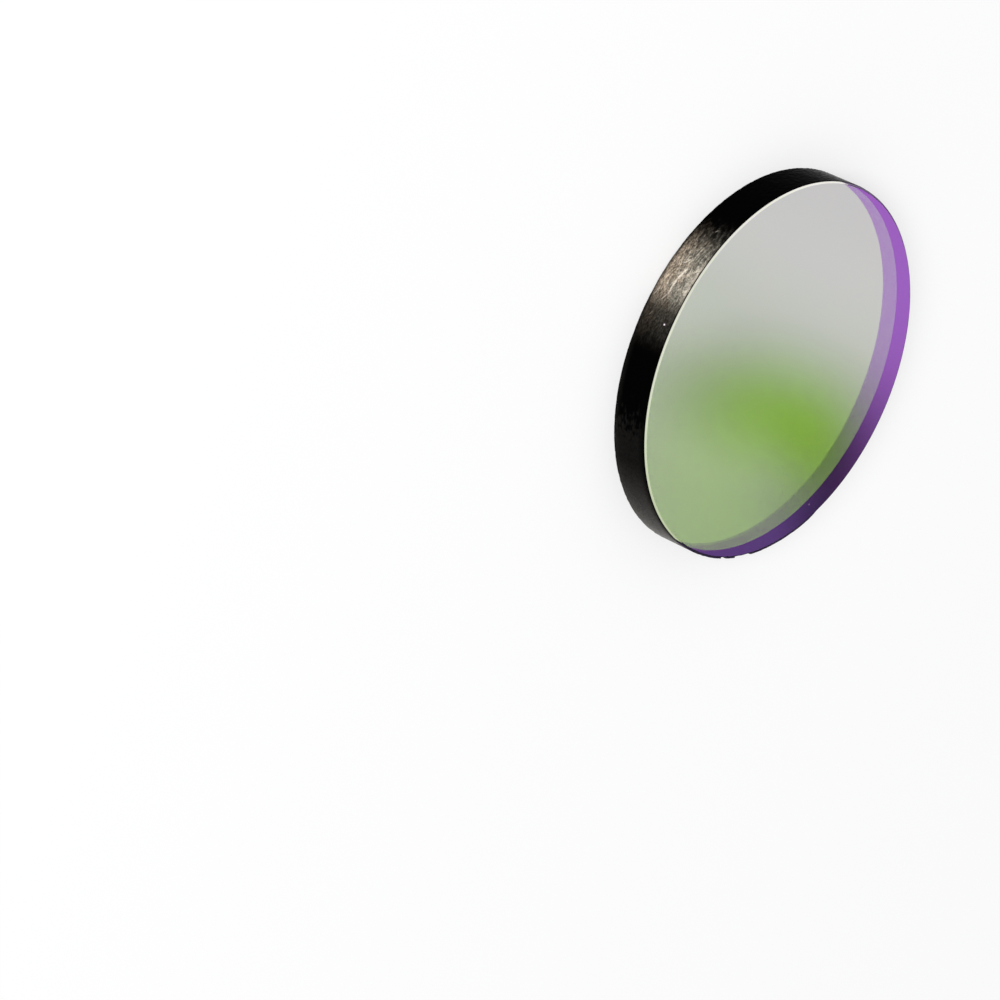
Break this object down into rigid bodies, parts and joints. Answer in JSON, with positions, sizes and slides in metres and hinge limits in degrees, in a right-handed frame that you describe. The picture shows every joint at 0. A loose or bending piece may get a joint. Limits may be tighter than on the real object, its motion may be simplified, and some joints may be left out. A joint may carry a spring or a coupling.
{
  "type": "optical bandpass filter",
  "caption": "Unmounted round glass bandpass filter with a thin-film coating on each face and a blackened edge, which passes one band of light and reflects the rest.",
  "frame": {"origin": "centre of the rear face, which the filter rests on", "axes": "+Z along the optical axis, out of the front face; +X points at the chipped stretch of the front rim, give or take 20 degrees"},
  "size_m": [0.025, 0.025, 0.0026],
  "materials": {
    "clear_glass": "polished faces with a fine-ground wall and bevels",
    "violet_film": "interference film that reflects violet and transmits green",
    "rear_film": "interference film that reflects pale green and transmits green",
    "black_ink": "brushed black ink on ground glass, scratched in one patch"
  },
  "bodies": {
    "root": {"glass_substrate": "clear_glass", "bandpass_coating": "violet_film", "blocking_coating": "rear_film", "edge_blackening": "black_ink"}
  },
  "joints": []
}
